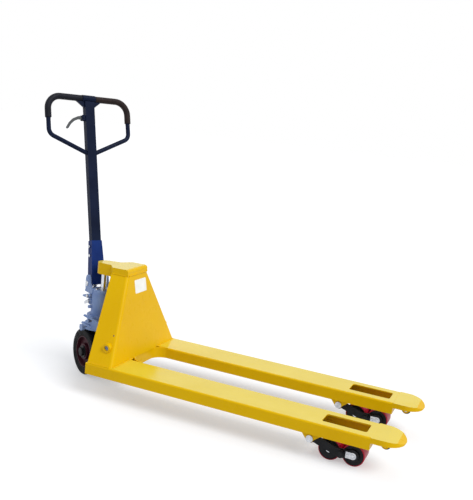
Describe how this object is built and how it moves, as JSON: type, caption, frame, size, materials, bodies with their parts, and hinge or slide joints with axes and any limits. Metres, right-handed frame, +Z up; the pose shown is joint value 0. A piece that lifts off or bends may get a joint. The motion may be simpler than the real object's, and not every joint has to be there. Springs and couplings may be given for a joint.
{
  "type": "hand pallet jack",
  "caption": "Hand pallet jack with two long forks, tandem load rollers, a leaning front frame, a steered hydraulic pump and a loop handle.",
  "frame": {"origin": "on the floor, midway between the forks, under the foot of the front plate", "axes": "+X along the forks towards their tips, +Y to the left of the person at the handle, +Z up"},
  "size_m": [1.7175, 0.571, 1.1859],
  "materials": {
    "yellow_paint": "gloss",
    "pump_paint": "semi-gloss",
    "handle_paint": "semi-gloss",
    "base_paint": "semi-gloss",
    "black_steel": "satin",
    "chrome": "polished",
    "steel": "bright zinc",
    "grip_rubber": "matte",
    "tyre_rubber": "matte",
    "hub_red": "satin",
    "roller_red": "polyurethane",
    "lever_plastic": "satin",
    "label_white": "blank",
    "dark_nylon": "matte"
  },
  "bodies": {
    "chassis": {"frame_shell": "yellow_paint", "head_cap": "yellow_paint", "lift_ram": "chrome", "fork_left": "yellow_paint", "fork_right": "yellow_paint", "tip_left": "yellow_paint", "tip_right": "yellow_paint", "heel_beam": "yellow_paint", "lever_gussets": "yellow_paint", "lever_axles": "steel", "tip_axles": "steel", "crank_bushes": "steel", "label_plate": "label_white"},
    "collar": {"thrust_collar": "black_steel"},
    "pump": {"thrust_washer": "steel", "pump_body": "pump_paint", "ram_gland": "steel", "flange_screws": "steel", "adjuster": "steel", "wheel_axle": "steel", "axle_nuts": "steel", "handle_pin": "steel"},
    "handle": {"handle_base": "base_paint", "base_bolts": "steel", "handle_shaft": "handle_paint", "handle_head": "handle_paint", "loop_tube": "handle_paint", "grip_left": "grip_rubber", "grip_right": "grip_rubber", "lever_bracket": "black_steel", "cam_pin": "steel"},
    "cam_roller": {"cam_roller": "steel"},
    "plunger": {"pump_plunger": "steel", "plunger_spring": "steel"},
    "control_lever": {"control_lever": "black_steel"},
    "release_rod": {"release_rod": "steel"},
    "release_arm": {"release_arm": "pump_paint"},
    "steer_wheel_left": {"steer_tyre_left": "tyre_rubber", "steer_hub_left": "hub_red", "steer_bearings_left": "steel"},
    "steer_wheel_right": {"steer_tyre_right": "tyre_rubber", "steer_hub_right": "hub_red", "steer_bearings_right": "steel"},
    "crank": {"bell_crank": "black_steel", "crank_pins": "steel"},
    "push_rod_left": {"push_rod_left": "black_steel"},
    "push_rod_right": {"push_rod_right": "black_steel"},
    "wheel_lever_left": {"wheel_lever_left": "black_steel"},
    "wheel_lever_right": {"wheel_lever_right": "black_steel"},
    "rocker_left": {"rocker_left": "black_steel", "roller_axles_left": "steel"},
    "rocker_right": {"rocker_right": "black_steel", "roller_axles_right": "steel"},
    "roller_left_rear": {"roller_left_rear": "roller_red"},
    "roller_left_front": {"roller_left_front": "roller_red"},
    "roller_right_rear": {"roller_right_rear": "roller_red"},
    "roller_right_front": {"roller_right_front": "roller_red"},
    "tip_roller_left": {"tip_roller_left": "dark_nylon"},
    "tip_roller_right": {"tip_roller_right": "dark_nylon"}
  },
  "joints": [
    {"name": "lift", "type": "slide", "parent": "chassis", "child": "collar", "axis": [0, 0, -1], "range_m": [-0.054, 0.061]},
    {"name": "steer", "type": "hinge", "parent": "collar", "child": "pump", "pos_m": [-0.235, 0, 0.252], "axis": [0, 0, 1], "range_deg": [-60, 120]},
    {"name": "handle_tilt", "type": "hinge", "parent": "pump", "child": "handle", "pos_m": [-0.28696, 0.03, 0.387], "axis": [-0.5, -0.866, 0], "range_deg": [0, 75], "stiffness_Nm_per_rad": 12, "springref_deg": -68.75},
    {"name": "plunger_stroke", "type": "slide", "parent": "pump", "child": "plunger", "axis": [0, 0, -1], "range_m": [0, 0.032], "deforming": ["plunger_spring"]},
    {"name": "cam_spin", "type": "hinge", "parent": "handle", "child": "cam_roller", "pos_m": [-0.30368, 0.03965, 0.40208], "axis": [-0.5, -0.866, 0], "continuous": true},
    {"name": "control", "type": "hinge", "parent": "handle", "child": "control_lever", "pos_m": [-0.46424, 0.09771, 1.08633], "axis": [-0.8365, 0.483, -0.2588], "range_deg": [-13, 13], "stiffness_Nm_per_rad": 0.6},
    {"name": "release_pull", "type": "slide", "parent": "handle", "child": "release_rod", "axis": [-0.2241, 0.1294, 0.9659], "range_m": [-0.006, 0.006]},
    {"name": "release_swing", "type": "hinge", "parent": "pump", "child": "release_arm", "pos_m": [-0.28155, -0.03663, 0.341], "axis": [-0.5, -0.866, 0], "range_deg": [-13, 13]},
    {"name": "steer_wheel_right_spin", "type": "hinge", "parent": "pump", "child": "steer_wheel_right", "pos_m": [-0.261, -0.04503, 0.1], "axis": [-0.5, -0.866, 0], "continuous": true},
    {"name": "steer_wheel_left_spin", "type": "hinge", "parent": "pump", "child": "steer_wheel_left", "pos_m": [-0.209, 0.04503, 0.1], "axis": [-0.5, -0.866, 0], "continuous": true},
    {"name": "crank_turn", "type": "hinge", "parent": "chassis", "child": "crank", "pos_m": [-0.052, 0, 0.206], "axis": [0, -1, 0], "range_deg": [-16, 18]},
    {"name": "push_left", "type": "slide", "parent": "chassis", "child": "push_rod_left", "axis": [1, 0, 0], "range_m": [-0.0235, 0.0265]},
    {"name": "lever_left", "type": "hinge", "parent": "chassis", "child": "wheel_lever_left", "pos_m": [0.825, 0.189, 0.076], "axis": [0, 1, 0], "range_deg": [-31, 35]},
    {"name": "rocker_left_tilt", "type": "hinge", "parent": "wheel_lever_left", "child": "rocker_left", "pos_m": [0.93559, 0.189, 0.041], "axis": [0, 1, 0], "range_deg": [-40, 40]},
    {"name": "roller_left_rear_spin", "type": "hinge", "parent": "rocker_left", "child": "roller_left_rear", "pos_m": [0.89159, 0.189, 0.041], "axis": [0, 1, 0], "continuous": true},
    {"name": "roller_left_front_spin", "type": "hinge", "parent": "rocker_left", "child": "roller_left_front", "pos_m": [0.97959, 0.189, 0.041], "axis": [0, 1, 0], "continuous": true},
    {"name": "tip_roller_left_spin", "type": "hinge", "parent": "chassis", "child": "tip_roller_left", "pos_m": [1.084, 0.189, 0.106], "axis": [0, 1, 0], "continuous": true},
    {"name": "push_right", "type": "slide", "parent": "chassis", "child": "push_rod_right", "axis": [1, 0, 0], "range_m": [-0.0235, 0.0265]},
    {"name": "lever_right", "type": "hinge", "parent": "chassis", "child": "wheel_lever_right", "pos_m": [0.825, -0.189, 0.076], "axis": [0, 1, 0], "range_deg": [-31, 35]},
    {"name": "rocker_right_tilt", "type": "hinge", "parent": "wheel_lever_right", "child": "rocker_right", "pos_m": [0.93559, -0.189, 0.041], "axis": [0, 1, 0], "range_deg": [-40, 40]},
    {"name": "roller_right_rear_spin", "type": "hinge", "parent": "rocker_right", "child": "roller_right_rear", "pos_m": [0.89159, -0.189, 0.041], "axis": [0, 1, 0], "continuous": true},
    {"name": "roller_right_front_spin", "type": "hinge", "parent": "rocker_right", "child": "roller_right_front", "pos_m": [0.97959, -0.189, 0.041], "axis": [0, 1, 0], "continuous": true},
    {"name": "tip_roller_right_spin", "type": "hinge", "parent": "chassis", "child": "tip_roller_right", "pos_m": [1.084, -0.189, 0.106], "axis": [0, 1, 0], "continuous": true}
  ],
  "couplings": [
    {"joint": "crank_turn", "follows": "lift", "rad_per_m": 5},
    {"joint": "push_left", "follows": "lift", "ratio": 0.4214},
    {"joint": "push_right", "follows": "lift", "ratio": 0.4214},
    {"joint": "lever_left", "follows": "lift", "rad_per_m": 9.5773},
    {"joint": "rocker_left_tilt", "follows": "lift", "rad_per_m": -9.5773},
    {"joint": "rocker_right_tilt", "follows": "lift", "rad_per_m": -9.5773},
    {"joint": "lever_right", "follows": "lift", "rad_per_m": 9.5773},
    {"joint": "plunger_stroke", "follows": "handle_tilt", "m_per_rad": 0.0234},
    {"joint": "control", "follows": "release_pull", "rad_per_m": -35},
    {"joint": "release_swing", "follows": "release_pull", "rad_per_m": 35}
  ]
}
